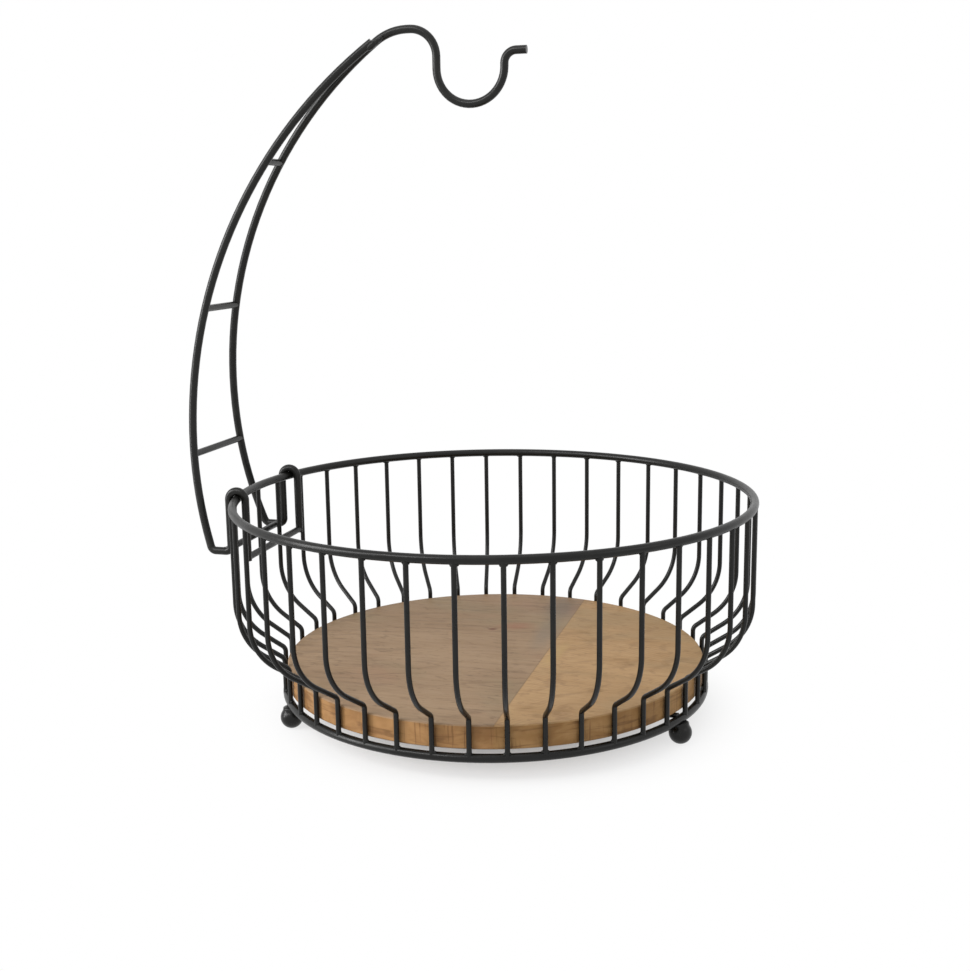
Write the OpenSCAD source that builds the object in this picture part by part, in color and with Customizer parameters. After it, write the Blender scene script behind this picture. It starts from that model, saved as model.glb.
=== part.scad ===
// Wire fruit bowl on ball feet, with a wood base and a hook-on banana hanger.
// Millimetres. Z is up, the feet stand on z = 0, the hanger is at -X and is symmetric about y = 0.
// All upright positions are counted from the centre plane of the rim wire.

/* [Basket rings] */
// Rim, outside diameter
rim_outer_d = 304.8; // [280:1:330]
// Rim wire diameter
rim_d = 4.8; // [3.6:0.2:6]
// Set-in of the bottom ring from the rim, between their wire centres
ring_set_in = 26.4; // [20:0.2:32]
// Bottom ring wire diameter
ring_d = 4.8; // [3.6:0.2:6]
// Height from the ring's wire centre to the rim's wire centre
basket_h = 111; // [100:1:125]

/* [Ribs] */
// Number of ribs
rib_count = 40; // [24:4:40]
// Rib wire diameter
rib_d = 2.8; // [2:0.1:3.4]
// Turn of the ribs from the hanger's centre line, in degrees
rib_turn = -1.1; // [-4:0.1:4]
// Turn of the bottom ring against the rim, in degrees; every rib swings over by it
ring_turn = 0.9; // [-2:0.1:2]
// Depth of the straight upper part below the rim's wire centre
rib_straight = 55; // [40:1:62]
// Bend radius of the belly
belly_r = 31; // [24:1:34]
// Set-back of the ribs from the outer side of both rings
rib_inset = 0.2; // [0.1:0.05:0.5]
// Slope of the shoulder below horizontal, in degrees
shoulder_slope = 33; // [20:1:40]
// Bend radius of the neck above the ring
neck_bend_r = 4; // [2.5:0.5:7]

/* [Wood base] */
// Thickness of the wood disc
wood_t = 13; // [9:0.5:16]
// Gap between the disc's edge and the ribs' inner side
wood_gap = 0.4; // [0.3:0.1:3]
// Edge break of the disc
wood_chamfer = 0.6; // [0.3:0.1:1.5]
// Glue joint between the two boards, distance from the basket's axis
joint_x = 31; // [-60:1:60]
// Height of the disc's underside above the bottom ring's top
wood_lift = 1.8; // [1.2:0.1:2.2]

/* [Support wires] */
// Support wire diameter
support_d = 3; // [2.6:0.1:3.6]
// Distance of each support wire from the middle
support_y = 45; // [30:1:50]

/* [Feet] */
// Ball foot diameter
foot_d = 12.8; // [9:0.2:16]
// Depth that a ball is let into the ring wire by its weld
foot_sink = 1; // [0.5:0.1:1.5]
// Direction of the first front foot
foot_angle_a = -20; // [-35:1:-10]
// Direction of the second front foot
foot_angle_b = -145.5; // [-160:1:-130]
// Direction of the back foot
foot_angle_c = 96; // [80:1:110]

/* [Hanger rails] */
// Hanger wire diameter
hanger_d = 4.6; // [3.6:0.2:5]
// Half the distance between the two rim hooks
leg_y = 38.2; // [34:0.5:41]
// Bend radius of a rim hook at its wire centre
hook_r = 5.2; // [5:0.1:7]
// Depth of the hanger's J bends below the rim's wire centre
j_depth = 31.8; // [28:0.5:40]
// Bend radius of a J bend
j_r = 3.5; // [3:0.1:5]
// Length of the straight bottom of a J bend
j_flat = 5.5; // [1:0.5:9]
// Straight land between two bends
land = 1; // [0.6:0.1:2]
// Bend radius of the lower rail
rail_low_r = 243; // [210:5:280]
// Turn of the lower rail, in degrees
rail_low_turn = 18; // [15:0.1:21]
// Bend radius of the upper rail
rail_high_r = 258.5; // [240:2:275]
// Turn of the upper rail, in degrees
rail_high_turn = 54.8; // [52:0.1:58]
// Bend radius of the arch's rising side
arch_rise_r = 32; // [24:1:40]

/* [Banana hook] */
// Bend radius of the arch's falling side
arch_fall_r = 15.2; // [11:0.2:18]
// Straight drop between arch and hook
hook_drop = 6.7; // [4:0.2:12]
// Bend radius of the banana hook
banana_r = 19.5; // [15:0.2:24]
// Straight rise after the hook
tip_rise = 1.4; // [1:0.2:6]
// Bend radius at the tip
tip_r = 6.7; // [4:0.1:9]
// Straight length of the tip
tip_l = 6; // [5:0.5:14]

/* [Rungs and bars] */
// Rung wire diameter
rung_d = 4; // [3:0.1:4.4]
// Height of the low rung above the rim's wire centre
rung_low_z = 24.5; // [10:0.5:40]
// Height of the middle rung
rung_mid_z = 109.5; // [90:0.5:125]
// Height of the top rung
rung_top_z = 193; // [175:0.5:205]
// Depth of the inner bar below the rim's wire centre
inner_bar_depth = 34.9; // [26:0.5:40]

/* [Hidden] */
$fn = 48;
rim_r = (rim_outer_d - rim_d) / 2;
ring_r = rim_r - ring_set_in;
// The ribs' outer side is all but flush with the outer side of both rings.
rib_top_r = rim_r + rim_d / 2 - rib_d / 2 - rib_inset;
neck_r = ring_r + ring_d / 2 - rib_d / 2 - rib_inset;
belly_turn = 90 - shoulder_slope;
rib_run_x = rib_top_r - neck_r * cos(ring_turn);
rib_run_y = neck_r * sin(ring_turn);
rib_swing = atan2(rib_run_y, rib_run_x);
rib_run = sqrt(rib_run_x * rib_run_x + rib_run_y * rib_run_y);
shoulder_l = (rib_run - (belly_r + neck_bend_r) * (1 - cos(belly_turn))) / cos(shoulder_slope);
bend_drop = (belly_r + neck_bend_r) * sin(belly_turn) + shoulder_l * sin(shoulder_slope);
neck_l = basket_h - rib_straight - bend_drop;
wood_r = neck_r - rib_d / 2 - wood_gap;
wood_bottom = -basket_h + ring_d / 2 + wood_lift;
foot_z = -basket_h - ring_d / 2 - foot_d / 2 + foot_sink;
rim_z = foot_d / 2 - foot_z;
pitch = 360 / rib_count;
// Hanger: a hook sits on top of the rim wire, over the wire's own place at that distance from y = 0.
hook_x = sqrt(rim_r * rim_r - leg_y * leg_y);
hook_top = rim_d / 2 + hanger_d / 2;
hook_centre = hook_top - hook_r;
j_x = hook_x + hook_r + j_r + land;
outer_leg_l = hook_centre + j_depth - j_r;
inner_leg_l = hook_centre + inner_bar_depth + rung_d / 2;
// A rail lies in a plane that leans in toward y = 0 about a line through the bottom of its J bend.
low_steps = [
    [0, j_flat],
    [j_r, rail_low_turn - 90],
    [0, land],
    [rail_low_r, -rail_low_turn],
    [0, land]];
rail_steps = concat(low_steps, [[rail_high_r, -rail_high_turn]]);
main_steps = concat(rail_steps, [
    [0, land],
    [arch_rise_r, rail_high_turn - 90],
    [0, land]]);
// Ends of the paths in that plane: out from the J bend, and up along the lean.
low_end = path_end(low_steps);
rail_end = path_end(rail_steps);
main_end = path_end(main_steps);
p2x = j_x + low_end[1];
p2t = -low_end[0];
// The lean brings the two wires side by side where the branch wire ends.
lean = asin((leg_y - hanger_d / 2 + 0.1) / -rail_end[0]);
arch_x = j_x + main_end[1];
arch_y = leg_y + main_end[0] * sin(lean);
arch_z = -main_end[0] * cos(lean) - j_depth;
rail_reach = p2x + hanger_d / 2;
// The basket's axis stands off the middle, because the hanger reaches farther than the rim.
axis_x = (rail_reach - rim_outer_d / 2) / 2;
// A joining ball is this much thicker than its wire.
ball_over = 0.06;

// Where a bent wire's path ends: x, z and the heading from z toward x.
function path_end(steps, i = 0, p = [0, 0, 0]) = i == len(steps)
    ? p
    : path_end(steps, i + 1, steps[i][0] == 0
        ? on_by(p, 0, steps[i][1], 0)
        : on_by(p, (steps[i][1] < 0 ? -1 : 1) * steps[i][0] * (1 - cos(steps[i][1])),
            steps[i][0] * sin(abs(steps[i][1])), steps[i][1]));
function on_by(p, dx, dz, turn) = [
    p[0] + dx * cos(p[2]) + dz * sin(p[2]),
    p[1] - dx * sin(p[2]) + dz * cos(p[2]),
    p[2] + turn];

function rib_name(i) = str("rib_", i < 10 ? "0" : "", i);

// Basket coordinates: origin on the axis, in the rim's centre plane.
module basket() {
    translate([axis_x, 0, rim_z])
        children();
}

module ring_wire(r, d) {
    rotate_extrude($fn = 180)
        translate([r, 0])
            circle(d = d, $fn = 24);
}

// A bent wire from the origin: it starts up z, and each step is [0, length] or [radius, turn].
// A turn above zero bends toward +x and one below zero toward -x.
// A ball a hair thicker than the wire joins each step to the one before it.
module bent_wire(steps, d, i = 0, fa = 24) {
    if (i > 0 && i < len(steps))
        sphere(d = d + ball_over, $fn = fa);
    if (i < len(steps)) {
        r = steps[i][0];
        a = steps[i][1];
        if (r == 0) {
            cylinder(d = d, h = a, $fn = fa);
            translate([0, 0, a])
                bent_wire(steps, d, i + 1, fa);
        } else {
            s = a < 0 ? -1 : 1;
            mirror([s < 0 ? 1 : 0, 0, 0])
                translate([r, 0, 0])
                    rotate([90, 0, 180])
                        rotate_extrude(angle = abs(a), $fn = arc_fn(r, d))
                            translate([r, 0])
                                circle(d = d, $fn = fa);
            translate([s * r * (1 - cos(a)), 0, r * sin(abs(a))])
                rotate([0, a, 0])
                    bent_wire(steps, d, i + 1, fa);
        }
    }
}

// A bend gets more steps the larger it is against its wire.
function arc_fn(r, d) = r > 20 * d ? 240 : r > 5 * d ? 96 : 48;

module top_rim() {
    color([0.16, 0.16, 0.15])
        basket()
            ring_wire(rim_r, rim_d);
}

module bottom_ring() {
    color([0.16, 0.16, 0.15])
        basket()
            translate([0, 0, -basket_h])
                ring_wire(ring_r, ring_d);
}

// One rib, coped at both ends so that it meets the rings without cutting into them.
module rib(i) {
    color([0.16, 0.16, 0.15])
        basket()
            rotate([0, 0, (i - 1) * pitch + rib_turn])
                difference() {
                    translate([rib_top_r, 0, 0])
                        rotate([180, 0, -rib_swing])
                            bent_wire([
                                [0, rib_straight],
                                [belly_r, -belly_turn],
                                [0, shoulder_l],
                                [neck_bend_r, belly_turn],
                                [0, neck_l]], rib_d, 0, 16);
                    ring_wire(rim_r, rim_d);
                    translate([0, 0, -basket_h])
                        ring_wire(ring_r, ring_d);
                }
}

module wood_disc() {
    basket()
        translate([0, 0, wood_bottom])
            rotate_extrude($fn = 180)
                polygon([
                    [0, 0],
                    [wood_r - wood_chamfer, 0],
                    [wood_r, wood_chamfer],
                    [wood_r, wood_t - wood_chamfer],
                    [wood_r - wood_chamfer, wood_t],
                    [0, wood_t]]);
}

// The disc is glued up from two boards that meet on a plane.
module wood_board(side) {
    color(side < 0 ? [0.59, 0.51, 0.42] : [0.66, 0.55, 0.44])
        intersection() {
            wood_disc();
            basket()
                translate([side < 0 ? joint_x - 3 * wood_r : joint_x, -2 * wood_r,
                           wood_bottom - wood_t])
                    cube([3 * wood_r, 4 * wood_r, 3 * wood_t]);
        }
}

// A wire that lies across the ring's top inner edge and carries the wood.
module support_wire(side) {
    color([0.16, 0.16, 0.15])
        basket()
            difference() {
                intersection() {
                    translate([-ring_r, side * support_y, wood_bottom - support_d / 2])
                        rotate([0, 90, 0])
                            cylinder(d = support_d, h = 2 * ring_r, $fn = 24);
                    translate([0, 0, wood_bottom - 2 * support_d])
                        cylinder(r = ring_r, h = 4 * support_d, $fn = 180);
                }
                translate([0, 0, -basket_h])
                    ring_wire(ring_r, ring_d);
            }
}

module foot(angle) {
    color([0.16, 0.16, 0.15])
        basket()
            difference() {
                rotate([0, 0, angle])
                    translate([ring_r, 0, foot_z])
                        sphere(d = foot_d, $fn = 48);
                translate([0, 0, -basket_h])
                    ring_wire(ring_r, ring_d);
            }
}

// Hanger coordinates: +x points out from the basket's axis, at the bottom of the J bend.
module at_j_bend(side) {
    basket()
        mirror([1, 0, 0])
            translate([j_x, side * leg_y, -j_depth])
                children();
}

// Rim hook: up the outer leg, over the rim and down the inner leg.
module rim_hook(side) {
    at_j_bend(side)
        sphere(d = hanger_d + ball_over, $fn = 24);
    at_j_bend(side)
        rotate([0, -90, 0])
            bent_wire([
                [0, land],
                [j_r, 90],
                [0, outer_leg_l],
                [hook_r, -180],
                [0, inner_leg_l]], hanger_d);
}

// The rail leans about the J bend's own start line, so the wire runs on without a kink.
module leaning(side) {
    at_j_bend(side)
        rotate([side * lean, 0, 0])
            children();
}

module rail(side, steps) {
    leaning(side)
        rotate([0, 90, 0])
            bent_wire(steps, hanger_d);
}

module main_rail() {
    rail(1, main_steps);
}

module banana_hook() {
    basket()
        mirror([1, 0, 0])
            translate([arch_x, arch_y, arch_z])
                sphere(d = hanger_d + ball_over, $fn = 24);
    basket()
        mirror([1, 0, 0])
            translate([arch_x, arch_y, arch_z])
                rotate([0, -90, 0])
                    bent_wire([
                        [0, land],
                        [arch_fall_r, -90],
                        [0, hook_drop],
                        [banana_r, 180],
                        [0, tip_rise],
                        [tip_r, -90],
                        [0, tip_l]], hanger_d);
}

module hanger_main_wire() {
    color([0.2, 0.2, 0.19]) {
        rim_hook(1);
        main_rail();
        banana_hook();
    }
}

// The branch wire ends beside the main wire and is ground to lie against it.
module hanger_branch_wire() {
    color([0.2, 0.2, 0.19])
        difference() {
            union() {
                rim_hook(-1);
                rail(-1, rail_steps);
            }
            main_rail();
        }
}

// x of the rails at a height above the rim's centre plane.
function rail_t(z) = (z + j_depth) / cos(lean);
function rail_x(z) = rail_t(z) < p2t
    ? p2x - rail_low_r + sqrt(rail_low_r * rail_low_r - pow(p2t - rail_t(z), 2))
    : p2x - rail_high_r + sqrt(rail_high_r * rail_high_r - pow(rail_t(z) - p2t, 2));

module rung(z) {
    color([0.2, 0.2, 0.19])
        difference() {
            basket()
                translate([-rail_x(z), -rung_half(z), z])
                    rotate([-90, 0, 0])
                        cylinder(d = rung_d, h = 2 * rung_half(z), $fn = 24);
            rail(1, rail_steps);
            rail(-1, rail_steps);
        }
}

function rung_half(z) = leg_y - rail_t(z) * sin(lean);

// The bars run between the wires of the two sides and are coped to them.
module cross_bar(x, z) {
    color([0.2, 0.2, 0.19])
        difference() {
            basket()
                translate([-x, -leg_y, z])
                    rotate([-90, 0, 0])
                        cylinder(d = rung_d, h = 2 * leg_y, $fn = 24);
            for (s = [-1, 1]) {
                rim_hook(s);
                rail(s, rail_steps);
            }
        }
}

top_rim();
bottom_ring();
for (i = [1:rib_count]) {
    rib(i);
}
wood_board(-1);  // wood_board_wide
wood_board(1);  // wood_board_narrow
support_wire(-1);  // support_wire_front
support_wire(1);  // support_wire_back
foot(foot_angle_a);  // foot_a
foot(foot_angle_b);  // foot_b
foot(foot_angle_c);  // foot_c
hanger_main_wire();
hanger_branch_wire();
rung(rung_top_z);  // rung_top
rung(rung_mid_z);  // rung_mid
rung(rung_low_z);  // rung_low
cross_bar(hook_x - hook_r, -inner_bar_depth);  // hanger_inner_bar
cross_bar(j_x, -j_depth);  // hanger_outer_bar
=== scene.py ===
import math
import random

import bmesh
import bpy
from mathutils import Matrix, Vector


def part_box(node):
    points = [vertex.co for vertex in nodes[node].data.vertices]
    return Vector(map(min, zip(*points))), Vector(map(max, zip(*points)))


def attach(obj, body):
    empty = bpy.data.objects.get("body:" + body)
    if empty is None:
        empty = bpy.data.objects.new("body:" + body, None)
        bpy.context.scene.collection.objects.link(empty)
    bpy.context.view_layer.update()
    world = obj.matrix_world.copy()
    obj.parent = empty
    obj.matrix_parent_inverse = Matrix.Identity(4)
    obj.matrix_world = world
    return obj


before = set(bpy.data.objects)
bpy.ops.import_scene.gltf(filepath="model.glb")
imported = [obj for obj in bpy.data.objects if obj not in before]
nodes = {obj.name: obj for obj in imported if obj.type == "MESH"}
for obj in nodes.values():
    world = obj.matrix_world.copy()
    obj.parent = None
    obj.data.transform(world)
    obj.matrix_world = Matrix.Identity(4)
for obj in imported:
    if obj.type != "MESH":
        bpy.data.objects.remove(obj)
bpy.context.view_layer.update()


# Places and sizes of the solids, in metres, read from the parts in model.glb.

def middle(name):
    """Middle of a node's box."""
    lo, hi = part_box(name)
    return (Vector(lo) + Vector(hi)) / 2


def size(name):
    """Extents of a node's box."""
    lo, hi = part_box(name)
    return Vector(hi) - Vector(lo)


RIM = middle("top_rim")
RING = middle("bottom_ring")
RIM_D = size("top_rim").z
RING_D = size("bottom_ring").z
RIM_R = size("top_rim").x / 2 - RIM_D / 2
RING_R = size("bottom_ring").x / 2 - RING_D / 2
RIBS = [n for n in sorted(nodes) if n.startswith("rib_")]
FEET = [n for n in sorted(nodes) if n.startswith("foot_")]
CROSS_WIRES = [n for n in sorted(nodes) if n.startswith("rung_") or n.endswith("_bar")]
WOOD_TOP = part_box("wood_board_wide")[1][2]
JOINT_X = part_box("wood_board_wide")[1][0]
# Half the thickness of a rib and of a side wire of the hanger, which their boxes don't show.
RIB_R = 0.0014
WIRE_R = 0.0023
# Slope of the side wires from upright where the branch wire ends.
BRANCH_SLOPE = math.radians(54.8)


# Camera.

# Width and height of the picture in pixels.
IMAGE = (970, 971)
SENSOR_MM = 36.0
CLIP_NEAR = 0.01
CLIP_FAR = 20.0
# Found by fitting the rim, the ring, the wood's edge and the ribs to the photograph.
# Distances are in metres from the rim's middle and angles in radians.
FOCAL_PX = 1338.6
CAM_DISTANCE = 0.7659
CAM_ABOVE_RIM = 0.1576
CAM_SIDE = math.radians(15.2)
CAM_PITCH = 0.1949
CAM_YAW = -0.0061
CAM_ROLL = -0.0141


def add_camera():
    data = bpy.data.cameras.new("camera")
    data.sensor_width = SENSOR_MM
    data.lens = FOCAL_PX / max(IMAGE) * SENSOR_MM
    data.clip_start = CLIP_NEAR
    data.clip_end = CLIP_FAR
    cam = bpy.data.objects.new("camera", data)
    bpy.context.scene.collection.objects.link(cam)
    turn = Matrix.Rotation(CAM_SIDE, 3, "Z")
    forward = turn @ Vector((math.sin(CAM_YAW) * math.cos(CAM_PITCH),
                             math.cos(CAM_YAW) * math.cos(CAM_PITCH),
                             -math.sin(CAM_PITCH)))
    level = turn @ Vector((math.cos(CAM_YAW), -math.sin(CAM_YAW), 0))
    above = level.cross(forward)
    right = math.cos(CAM_ROLL) * level + math.sin(CAM_ROLL) * above
    up = math.cos(CAM_ROLL) * above - math.sin(CAM_ROLL) * level
    place = RIM + turn @ Vector((0, -CAM_DISTANCE, CAM_ABOVE_RIM))
    axes = Matrix((right, up, -forward)).transposed()
    cam.matrix_world = Matrix.Translation(place) @ axes.to_4x4()
    bpy.context.scene.camera = cam


add_camera()


# Node helpers.

def rgb(r, g, b):
    """A colour given in 0-255 display values, as linear light."""
    def lin(c):
        c /= 255
        return c / 12.92 if c <= 0.04045 else ((c + 0.055) / 1.055) ** 2.4
    return (lin(r), lin(g), lin(b), 1.0)


def put(nt, socket, value):
    """Link another node's output to a socket, or set the socket to a plain value."""
    if hasattr(value, "is_output"):
        nt.links.new(value, socket)
    else:
        socket.default_value = value


def math_node(nt, operation, a, b=0.0):
    n = nt.nodes.new("ShaderNodeMath")
    n.operation = operation
    put(nt, n.inputs[0], a)
    put(nt, n.inputs[1], b)
    return n.outputs[0]


def seen_directly(nt):
    """1 for what the camera sees, also mirrored in or through something, and 0 for light."""
    rays = nt.nodes.new("ShaderNodeLightPath")
    seen = math_node(nt, "MAXIMUM", rays.outputs["Is Camera Ray"], rays.outputs["Is Glossy Ray"])
    return math_node(nt, "MAXIMUM", seen, rays.outputs["Is Transmission Ray"])


class Tree:
    """A material with one Principled shader, and short ways to add the nodes that feed it."""

    def __init__(self, name):
        self.mat = bpy.data.materials.new(name)
        self.mat.use_nodes = True
        self.nt = self.mat.node_tree
        self.nt.nodes.clear()
        self.out = self.add("ShaderNodeOutputMaterial")
        self.bsdf = self.add("ShaderNodeBsdfPrincipled")
        self.link(self.bsdf.outputs[0], self.out.inputs["Surface"])

    def add(self, kind, **values):
        n = self.nt.nodes.new(kind)
        for k, v in values.items():
            setattr(n, k, v)
        return n

    def link(self, a, b):
        self.nt.links.new(a, b)

    def put(self, socket, value):
        put(self.nt, socket, value)

    def math(self, operation, a, b=0.0):
        return math_node(self.nt, operation, a, b)

    def coords(self, scale=(1, 1, 1), rotation=(0, 0, 0)):
        """The object's own coordinates, turned and scaled."""
        tc = self.add("ShaderNodeTexCoord")
        m = self.add("ShaderNodeMapping")
        m.inputs["Scale"].default_value = scale
        m.inputs["Rotation"].default_value = rotation
        self.link(tc.outputs["Object"], m.inputs["Vector"])
        return m.outputs[0]

    def noise(self, vector, scale, detail, rough, distort=0.0):
        n = self.add("ShaderNodeTexNoise")
        n.inputs["Scale"].default_value = scale
        n.inputs["Detail"].default_value = detail
        n.inputs["Roughness"].default_value = rough
        n.inputs["Distortion"].default_value = distort
        self.link(vector, n.inputs["Vector"])
        return n.outputs["Fac"]

    def bands(self, vector, direction, scale, distort, detail, detail_scale=1.0, rough=0.5):
        """Wavy stripes that follow one another along one direction."""
        n = self.add("ShaderNodeTexWave", wave_type="BANDS", bands_direction=direction,
                     wave_profile="SIN")
        n.inputs["Scale"].default_value = scale
        n.inputs["Distortion"].default_value = distort
        n.inputs["Detail"].default_value = detail
        n.inputs["Detail Scale"].default_value = detail_scale
        n.inputs["Detail Roughness"].default_value = rough
        self.link(vector, n.inputs["Vector"])
        return n.outputs["Fac"]

    def span(self, value, lo, hi, to_lo=0.0, to_hi=1.0, smooth=False):
        """Carry lo..hi over to to_lo..to_hi, held at both ends."""
        n = self.add("ShaderNodeMapRange")
        if smooth:
            n.interpolation_type = "SMOOTHSTEP"
        for key, v in (("From Min", lo), ("From Max", hi), ("To Min", to_lo), ("To Max", to_hi)):
            n.inputs[key].default_value = v
        self.put(n.inputs["Value"], value)
        return n.outputs["Result"]

    def mix(self, fac, a, b):
        """Colour a where fac is 0 and b where it is 1."""
        n = self.add("ShaderNodeMix", data_type="RGBA", blend_type="MIX")
        self.put(n.inputs[0], fac)
        self.put(n.inputs[6], a)
        self.put(n.inputs[7], b)
        return n.outputs[2]

    def bump(self, height, strength, distance):
        n = self.add("ShaderNodeBump")
        n.inputs["Strength"].default_value = strength
        n.inputs["Distance"].default_value = distance
        self.link(height, n.inputs["Height"])
        self.link(n.outputs[0], self.bsdf.inputs["Normal"])


# Powder coat.

def powder_coat(name, base, film, roughness):
    """Satin black powder coat: orange peel, a faint dusty film and fine specks."""
    t = Tree(name)
    where = t.coords()
    patches = t.noise(where, scale=70, detail=3, rough=0.6)
    grain = t.noise(where, scale=1500, detail=2, rough=0.5)
    peel = t.noise(where, scale=420, detail=3, rough=0.55)
    specks = t.span(t.noise(where, scale=2600, detail=1, rough=0.5), 0.68, 0.74, 0.0, 0.35)
    dusty = t.span(patches, 0.45, 0.8, 0.0, 0.5, smooth=True)
    tone = t.mix(dusty, base, film)
    t.put(t.bsdf.inputs["Base Color"], t.mix(specks, tone, film))
    rough = t.math("ADD", t.span(patches, 0.3, 0.7, roughness - 0.05, roughness + 0.06),
                   t.span(grain, 0.3, 0.7, -0.04, 0.04))
    t.put(t.bsdf.inputs["Roughness"], rough)
    t.bsdf.inputs["Specular IOR Level"].default_value = 0.28
    height = t.math("ADD", t.math("MULTIPLY", peel, 0.7), t.math("MULTIPLY", grain, 0.3))
    t.bump(height, strength=0.3, distance=0.0002)
    return t.mat


BASKET_COAT = powder_coat("basket_powder_coat", rgb(13, 13, 11), rgb(28, 28, 25), roughness=0.3)
HANGER_COAT = powder_coat("hanger_powder_coat", rgb(17, 17, 15), rgb(34, 34, 31), roughness=0.3)


# Wood.

# Share of a spot's radius over which it fades out.
SPOT_FADE = 0.85


def ellipse_mask(t, centre, half, turn):
    """1 inside an ellipse on the wood's face that fades out at its edge."""
    at = t.add("ShaderNodeMapping", vector_type="TEXTURE")
    tc = t.add("ShaderNodeTexCoord")
    t.link(tc.outputs["Object"], at.inputs["Vector"])
    at.inputs["Location"].default_value = (centre[0], centre[1], WOOD_TOP)
    at.inputs["Rotation"].default_value = (0, 0, turn)
    at.inputs["Scale"].default_value = (half[0], half[1], 1.0)
    length = t.add("ShaderNodeVectorMath", operation="LENGTH")
    t.link(at.outputs[0], length.inputs[0])
    return t.span(length.outputs["Value"], 1.0 - SPOT_FADE, 1.0, 1.0, 0.0, smooth=True)


def curly_figure(t, grain):
    """Wavy bands along the grain that break up and fade."""
    bands = t.bands(grain(0.5), direction="Y", scale=30, distort=9, detail=4,
                    detail_scale=1.1, rough=0.6)
    patchy = t.span(t.noise(grain(0.6), scale=38, detail=3, rough=0.6), 0.42, 0.62, smooth=True)
    return t.math("MULTIPLY", t.span(bands, 0.62, 1.0, smooth=True), patchy)


def planer_chatter(t, turn):
    """Close marks of a cutter, in patches."""
    bands = t.bands(t.coords(rotation=(0, 0, turn)), direction="X", scale=110, distort=1.6, detail=2)
    some = t.span(t.noise(t.coords(), scale=34, detail=3, rough=0.6), 0.45, 0.62, smooth=True)
    return t.math("MULTIPLY", t.span(bands, 0.5, 1.0), some)


def glue_line(t):
    """A dark trace along the joint of the boards, gone within a millimetre."""
    tc = t.add("ShaderNodeTexCoord")
    place = t.add("ShaderNodeSeparateXYZ")
    t.link(tc.outputs["Object"], place.inputs[0])
    off_joint = t.math("ABSOLUTE", t.math("SUBTRACT", place.outputs["X"], JOINT_X))
    return t.span(off_joint, 0.0001, 0.0007, 0.4, 0.0)


def upright(t):
    """1 on the board's upright edge and 0 on its flat faces."""
    geo = t.add("ShaderNodeNewGeometry")
    normal = t.add("ShaderNodeSeparateXYZ")
    t.link(geo.outputs["Normal"], normal.inputs[0])
    return t.span(t.math("ABSOLUTE", normal.outputs["Z"]), 0.35, 0.8, 1.0, 0.0)


def edge_wood(t, tones):
    """Colour of the upright edge: warmer, oilier wood with growth rings and saw ticks."""
    light, mid, dark = tones
    blotch = t.noise(t.coords(scale=(1, 1, 1.6)), scale=42, detail=3, rough=0.6, distort=0.6)
    rings = t.noise(t.coords(scale=(0.5, 0.5, 4)), scale=70, detail=3, rough=0.6, distort=1.0)
    ticks = t.noise(t.coords(scale=(1, 1, 0.06)), scale=620, detail=2, rough=0.5)
    tone = t.mix(t.span(blotch, 0.35, 0.65, smooth=True), light, mid)
    tone = t.mix(t.span(rings, 0.5, 0.68, 0, 0.55, smooth=True), tone, dark)
    here = t.span(t.noise(t.coords(), scale=24, detail=2, rough=0.5), 0.5, 0.6, smooth=True)
    cuts = t.math("MULTIPLY", t.span(ticks, 0.56, 0.66, 0, 0.5), here)
    return t.mix(cuts, tone, dark)


def board(name, tones, stains, edge_tones, grain_turn, chatter_turn, spots):
    """Planed and oiled board. In the grain's own frame its fibres run along x."""
    light, mid, dark = tones
    t = Tree(name)

    def grain(along):
        return t.coords(scale=(along, 1, 1), rotation=(0, 0, grain_turn))

    broad = t.noise(grain(0.45), scale=20, detail=4, rough=0.6, distort=0.5)
    tone = t.mix(t.span(broad, 0.3, 0.7, smooth=True), light, mid)
    # Slow drifts of hue.
    for scale, colour, amount in stains:
        drift = t.noise(grain(0.5), scale=scale, detail=3, rough=0.55, distort=0.8)
        tone = t.mix(t.span(drift, 0.5, 0.68, 0, amount, smooth=True), tone, colour)
    curl = curly_figure(t, grain)
    tone = t.mix(t.math("MULTIPLY", curl, 0.3), tone, dark)
    # Short planing marks that catch the light, each with a dark side.
    nicks = t.noise(grain(0.42), scale=105, detail=3, rough=0.55, distort=2.2)
    tone = t.mix(t.span(nicks, 0.56, 0.68, 0, 0.34, smooth=True), tone, dark)
    tone = t.mix(t.span(nicks, 0.42, 0.3, 0, 0.4, smooth=True), tone, light)
    # Fine fibres and pores.
    fine = t.noise(grain(0.1), scale=420, detail=4, rough=0.65)
    tone = t.mix(t.span(fine, 0.48, 0.75, 0, 0.2), tone, dark)
    pores = t.noise(grain(0.22), scale=900, detail=2, rough=0.5)
    tone = t.mix(t.span(pores, 0.64, 0.72, 0, 0.55), tone, dark)
    height = t.math("ADD", t.math("MULTIPLY", fine, 0.4), t.math("MULTIPLY", pores, 0.4))
    height = t.math("SUBTRACT", height, t.math("MULTIPLY", curl, 0.2))
    if chatter_turn:
        marks = planer_chatter(t, chatter_turn)
        tone = t.mix(t.math("MULTIPLY", marks, 0.2), tone, dark)
        height = t.math("SUBTRACT", height, t.math("MULTIPLY", marks, 0.25))
    for centre, half, turn, colour, strength in spots:
        mask = ellipse_mask(t, centre, half, turn)
        tone = t.mix(t.math("MULTIPLY", mask, strength), tone, colour)
    tone = t.mix(glue_line(t), tone, dark)
    t.put(t.bsdf.inputs["Base Color"], t.mix(upright(t), tone, edge_wood(t, edge_tones)))
    t.put(t.bsdf.inputs["Roughness"], t.span(fine, 0.3, 0.7, 0.5, 0.66))
    t.bsdf.inputs["Specular IOR Level"].default_value = 0.22
    t.bump(height, strength=0.4, distance=0.0004)
    return t.mat


def from_axis(x_mm, y_mm):
    """A place on the wood, in millimetres from the basket's axis."""
    return (RIM.x + x_mm / 1000, RIM.y + y_mm / 1000)


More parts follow.
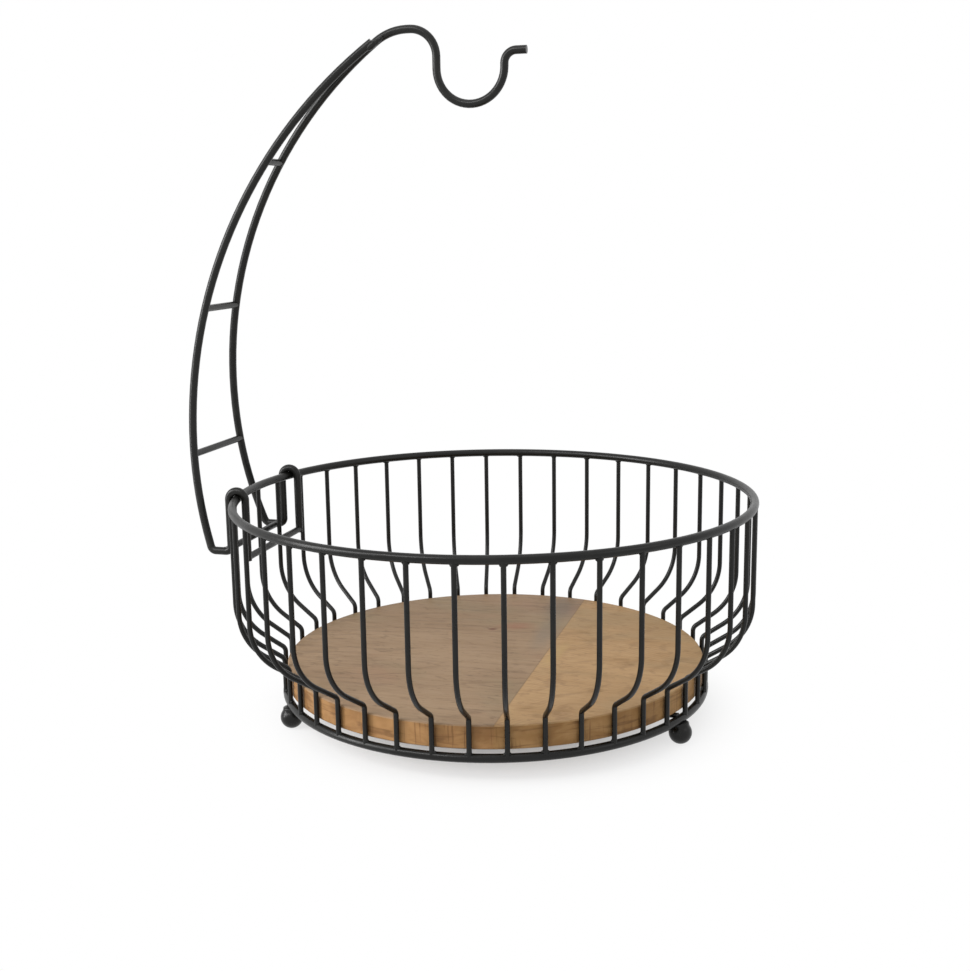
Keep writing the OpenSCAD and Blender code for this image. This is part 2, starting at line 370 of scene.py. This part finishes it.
# Tones run from light to dark. A stain has a scale, a colour and an amount. A spot has a
# centre, half its length and width in metres, a turn in radians, a colour and a strength.
KNOT = from_axis(-12.2, 40.0)
RED_STREAK = from_axis(0.5, 50.0)
GREY_PATCH = from_axis(20.0, 92.0)
GREY_BAND = from_axis(22.0, 40.0)
YELLOW_STREAK = from_axis(37.0, 0.0)

WIDE_BOARD = board(
    "board_wide",
    tones=(rgb(163, 136, 107), rgb(149, 122, 94), rgb(104, 82, 60)),
    stains=[(12, rgb(162, 124, 98), 0.55),
            (16, rgb(146, 130, 100), 0.5),
            (9, rgb(138, 112, 88), 0.5)],
    edge_tones=(rgb(168, 127, 82), rgb(140, 102, 62), rgb(94, 62, 36)),
    grain_turn=math.radians(-12),
    chatter_turn=0.0,
    spots=[(GREY_PATCH, (0.016, 0.036), 0.1, rgb(104, 97, 88), 0.55),
           (GREY_BAND, (0.010, 0.050), 0.05, rgb(128, 118, 104), 0.5),
           (RED_STREAK, (0.017, 0.011), 0.4, rgb(150, 98, 74), 0.55),
           (KNOT, (0.0042, 0.0034), 0.3, rgb(98, 50, 32), 0.85)])
NARROW_BOARD = board(
    "board_narrow",
    tones=(rgb(185, 150, 108), rgb(170, 135, 93), rgb(126, 94, 60)),
    stains=[(13, rgb(176, 140, 98), 0.5),
            (17, rgb(154, 132, 98), 0.45)],
    edge_tones=(rgb(166, 128, 82), rgb(142, 105, 62), rgb(96, 66, 38)),
    grain_turn=math.radians(-78),
    chatter_turn=math.radians(38),
    spots=[(YELLOW_STREAK, (0.006, 0.034), -0.1, rgb(182, 153, 102), 0.5)])


def material_of(name):
    if name == "wood_board_wide":
        return WIDE_BOARD
    if name.startswith("wood_"):
        return NARROW_BOARD
    if name.startswith(("hanger_", "rung_")):
        return HANGER_COAT
    return BASKET_COAT


for name in nodes:
    for material_slot in nodes[name].material_slots:
        material_slot.material = material_of(name)


# Welds. RIB_END, WELD_SINK, BRANCH_END and BRANCH_BEAD_HALF are in metres. The other sizes
# are shares of the radius of the wire or ball that is joined.

dice = random.Random(7)

# Waves round a bead along x, y and z, and the span that their starts are drawn from.
BEAD_WAVES = (3, 4, 3)
WAVE_START = 6.28

# A rib's weld is a collar across the rib, and a small bead beside it.
# RIB_END is the length of rib that counts as its end, and WELD_SINK is how far the weld's
# outer side lies within the outer face of the rim or ring.
RIB_END = 0.0012
WELD_SINK = 0.0004
COLLAR = (0.92, 1.5, 0.85)
COLLAR_SIZES = (0.86, 1.1)
COLLAR_LUMPS = 0.06
COLLAR_DROP = 1.02
SIDE_BEAD = (0.8, 1.0, 0.8)
SIDE_BEAD_SIZES = (0.6, 0.95)
SIDE_BEAD_PLACES = (0.7, 1.1)
SIDE_BEAD_LIFT = 0.12
SIDE_BEAD_LUMPS = 0.16

# Beads above and below each end of the hanger's rungs and bars.
CROSS_BEAD = (0.8, 0.95, 0.7)
CROSS_SIZES = (0.75, 1.05)
CROSS_SHIFT = 0.3
CROSS_OUT = 0.1
CROSS_UP = 0.62
CROSS_LUMPS = 0.12

# The branch wire's weld: places along the wire in metres, and the girth at each.
BRANCH_END = 0.0015
BRANCH_BEADS = ((-0.001, 0.96), (0.001, 0.8), (0.003, 0.6))
BRANCH_BEAD_HALF = 0.0042
BRANCH_DRIFT = 0.35
BRANCH_LUMPS = 0.03

# A foot's neck starts at NECK_FOOT on its ball and ends inside the ring. It narrows from the
# ball to its waist over most of its rise, and its last two sections close it.
NECK_FOOT = 0.5
NECK_IN_RING = 0.3
NECK_WAIST = 0.74
NECK_FLARE = 0.12
NECK_RISE = 0.8
NECK_STEPS = 8
NECK_CLOSE = (0.62, 0.94)
NECK_TIP = 0.4
LATHE_STEPS = 32


def bead(bm, centre, radii, turn, lumps):
    """A lumpy blob of weld metal: an icosphere stretched to radii and roughened."""
    start = len(bm.verts)
    bmesh.ops.create_icosphere(bm, subdivisions=2, radius=1.0)
    bm.verts.ensure_lookup_table()
    starts = [dice.uniform(0, WAVE_START) for _ in BEAD_WAVES]
    for v in bm.verts[start:]:
        p = v.co.copy()
        waves = [math.sin(n * c + s) for n, c, s in zip(BEAD_WAVES, p, starts)]
        swell = 1 + lumps * sum(waves) / len(waves)
        p = Vector((p.x * radii[0], p.y * radii[1], p.z * radii[2])) * swell
        v.co = centre + turn @ p


def lathe(bm, centre, profile):
    """A turned form about z through centre, from a list of (radius, height) points."""
    angles = [2 * math.pi * i / LATHE_STEPS for i in range(LATHE_STEPS)]
    rings = []
    for r, h in profile:
        rings.append([bm.verts.new(centre + Vector((r * math.cos(a), r * math.sin(a), h)))
                      for a in angles])
    for low, high in zip(rings, rings[1:]):
        for i in range(LATHE_STEPS):
            k = (i + 1) % LATHE_STEPS
            bm.faces.new((low[i], low[k], high[k], high[i]))
    bm.faces.new(list(reversed(rings[0])))
    bm.faces.new(rings[-1])


def add_piece(name, bm, material):
    for f in bm.faces:
        f.smooth = True
    mesh = bpy.data.meshes.new(name)
    bm.to_mesh(mesh)
    bm.free()
    obj = bpy.data.objects.new(name, mesh)
    bpy.context.scene.collection.objects.link(obj)
    mesh.materials.append(material)
    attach(obj, "root")


def polar(centre, r, angle, z):
    return Vector((centre.x + r * math.cos(angle), centre.y + r * math.sin(angle), z))


def end_of(name, toward, depth):
    """Middle of the last stretch of a wire's mesh, at its far end toward a direction."""
    points = [nodes[name].matrix_world @ v.co for v in nodes[name].data.vertices]
    edge = max(p.dot(toward) for p in points)
    near = [p for p in points if edge - p.dot(toward) < depth]
    return sum(near, Vector()) / len(near)


def add_foot_welds():
    """The neck of weld metal that joins each ball to the ring."""
    bm = bmesh.new()
    for name in FEET:
        ball_r = size(name).x / 2
        ball = middle(name)
        ball = Vector((ball.x, ball.y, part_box(name)[0][2] + ball_r))
        top = RING.z - RING_D * NECK_IN_RING - ball.z
        foot = ball_r * NECK_FOOT
        rise = top - foot
        profile = []
        for i in range(NECK_STEPS + 1):
            k = i / NECK_STEPS
            girth = NECK_WAIST + NECK_FLARE * (1 - k) ** 2
            profile.append((ball_r * girth, foot + rise * NECK_RISE * k))
        profile.append((ball_r * NECK_CLOSE[0], foot + rise * NECK_CLOSE[1]))
        profile.append((ball_r * NECK_TIP, top))
        lathe(bm, ball, profile)
    add_piece("foot_welds", bm, BASKET_COAT)


def add_cross_beads(bm):
    """Beads above and below each end of the rungs and bars."""
    for name in CROSS_WIRES:
        lo, hi = (Vector(v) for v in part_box(name))
        mid = (lo + hi) / 2
        r = (hi.z - lo.z) / 2
        for y, out in ((lo.y, -1), (hi.y, 1)):
            for up in (-1, 1):
                big = dice.uniform(*CROSS_SIZES)
                shift = dice.uniform(-CROSS_SHIFT, CROSS_SHIFT) * r
                at = Vector((mid.x + shift, y + out * r * CROSS_OUT, mid.z + up * r * CROSS_UP))
                radii = [r * share * big for share in CROSS_BEAD]
                bead(bm, at, radii, Matrix.Identity(3), CROSS_LUMPS)


def add_branch_beads(bm):
    """A weld that tapers away along the main wire from where the branch wire ends."""
    end = end_of("hanger_branch_wire", Vector((1, 0, 0)), BRANCH_END)
    along = Matrix.Rotation(BRANCH_SLOPE, 3, "Y")
    for k, girth in BRANCH_BEADS:
        at = end + along @ Vector((0, k * BRANCH_DRIFT, k))
        bead(bm, at, (WIRE_R * girth, WIRE_R * girth, BRANCH_BEAD_HALF), along, BRANCH_LUMPS)


def add_hanger_welds():
    bm = bmesh.new()
    add_cross_beads(bm)
    add_branch_beads(bm)
    add_piece("hanger_welds", bm, HANGER_COAT)


def add_rib_weld(bm, name, ring, outer_r, reach):
    """A collar on one end of a rib, and a bead beside it.

    reach is the radius of the rim's or ring's wire, below 0 where the rib stands on it.
    """
    from_ring = end_of(name, Vector((0, 0, math.copysign(1, reach))), RIB_END) - ring
    angle = math.atan2(from_ring.y, from_ring.x)
    turn = Matrix.Rotation(angle, 3, "Z")
    at = polar(ring, outer_r - RIB_R - WELD_SINK, angle, ring.z - reach * COLLAR_DROP)
    big = dice.uniform(*COLLAR_SIZES)
    thick, wide, tall = (RIB_R * share for share in COLLAR)
    bead(bm, at, (thick, wide * big, tall * big), turn, COLLAR_LUMPS)
    side = dice.choice((-1, 1))
    at = at + turn @ Vector((0, side * RIB_R * dice.uniform(*SIDE_BEAD_PLACES), 0))
    at.z += reach * SIDE_BEAD_LIFT
    small = dice.uniform(*SIDE_BEAD_SIZES)
    bead(bm, at, [RIB_R * share * small for share in SIDE_BEAD], turn, SIDE_BEAD_LUMPS)


def add_rib_welds():
    """Welds under the rim and on the bottom ring."""
    bm = bmesh.new()
    for name in RIBS:
        add_rib_weld(bm, name, RIM, RIM_R + RIM_D / 2, RIM_D / 2)
        add_rib_weld(bm, name, RING, RING_R + RING_D / 2, -RING_D / 2)
    add_piece("rib_welds", bm, BASKET_COAT)


add_foot_welds()
add_hanger_welds()
add_rib_welds()


# Floor.

FLOOR_HALF = 6.0
# Distances from the basket's axis over which the floor goes over to white.
FADE_FROM = 0.05
FADE_TO = 0.16
# Share of white near the axis, where the floor keeps the object's shadow.
WHITE_NEAR = 0.2


def floor_white():
    """Pale floor that runs out into the white of the world away from the object."""
    t = Tree("floor_white")
    t.bsdf.inputs["Base Color"].default_value = (0.93, 0.93, 0.93, 1)
    t.bsdf.inputs["Roughness"].default_value = 0.9
    t.bsdf.inputs["Specular IOR Level"].default_value = 0.1
    white = t.add("ShaderNodeEmission")
    white.inputs["Strength"].default_value = 1.0
    geo = t.add("ShaderNodeNewGeometry")
    off = t.add("ShaderNodeVectorMath", operation="SUBTRACT")
    away = t.add("ShaderNodeVectorMath", operation="LENGTH")
    t.link(geo.outputs["Position"], off.inputs[0])
    off.inputs[1].default_value = (RIM.x, RIM.y, 0.0)
    t.link(off.outputs[0], away.inputs[0])
    far = t.span(away.outputs["Value"], FADE_FROM, FADE_TO, WHITE_NEAR, 1.0, smooth=True)
    blend = t.add("ShaderNodeMixShader")
    t.link(t.math("MULTIPLY", far, seen_directly(t.nt)), blend.inputs[0])
    t.link(t.bsdf.outputs[0], blend.inputs[1])
    t.link(white.outputs[0], blend.inputs[2])
    t.link(blend.outputs[0], t.out.inputs["Surface"])
    return t.mat


def add_floor():
    bm = bmesh.new()
    for x, y in ((-1, -1), (1, -1), (1, 1), (-1, 1)):
        bm.verts.new((x * FLOOR_HALF, y * FLOOR_HALF, 0.0))
    bm.faces.new(bm.verts)
    mesh = bpy.data.meshes.new("floor")
    bm.to_mesh(mesh)
    bm.free()
    floor = bpy.data.objects.new("floor", mesh)
    bpy.context.scene.collection.objects.link(floor)
    mesh.materials.append(floor_white())


# World and lamps.

WORLD_LIGHT = 0.5
AIM = (0, 0, 0.15)
# Each lamp: azimuth and elevation in degrees, distance, width and height in metres, and watts.
# Azimuth runs from the camera's side of the object toward the camera's right.
LAMPS = {
    "softbox_left": (-72, 24, 1.6, 0.9, 0.5, 12),
    "strip_low_left": (-78, 6, 1.6, 0.34, 0.8, 8),
    "strip_high_front": (-42, 42, 1.6, 0.7, 0.4, 7),
    "top": (0, 80, 1.7, 1.2, 1.2, 3),
    "fill_right": (60, 30, 1.9, 0.9, 0.9, 2),
}


def add_world():
    """White where it is seen, and a plain level of light where it only lights."""
    world = bpy.data.worlds.new("studio")
    bpy.context.scene.world = world
    world.use_nodes = True
    nt = world.node_tree
    nt.nodes.clear()
    out = nt.nodes.new("ShaderNodeOutputWorld")
    back = nt.nodes.new("ShaderNodeBackground")
    back.inputs["Color"].default_value = (1, 1, 1, 1)
    strength = math_node(nt, "MULTIPLY", seen_directly(nt), 1 - WORLD_LIGHT)
    strength = math_node(nt, "ADD", strength, WORLD_LIGHT)
    nt.links.new(strength, back.inputs["Strength"])
    nt.links.new(back.outputs[0], out.inputs["Surface"])


def from_side(azimuth, elevation, distance):
    a = math.radians(azimuth) + CAM_SIDE
    e = math.radians(elevation)
    return (distance * math.cos(e) * math.sin(a),
            -distance * math.cos(e) * math.cos(a),
            AIM[2] + distance * math.sin(e))


def add_lamp(name, place, width, height, power):
    data = bpy.data.lights.new(name, "AREA")
    data.shape = "RECTANGLE"
    data.size = width
    data.size_y = height
    data.energy = power
    lamp = bpy.data.objects.new(name, data)
    lamp.location = place
    lamp.rotation_euler = (Vector(AIM) - Vector(place)).to_track_quat("-Z", "Y").to_euler()
    bpy.context.scene.collection.objects.link(lamp)


add_floor()
add_world()
for name, (azimuth, elevation, distance, width, height, power) in LAMPS.items():
    add_lamp(name, from_side(azimuth, elevation, distance), width, height, power)

scene = bpy.context.scene
scene.view_settings.view_transform = "Standard"
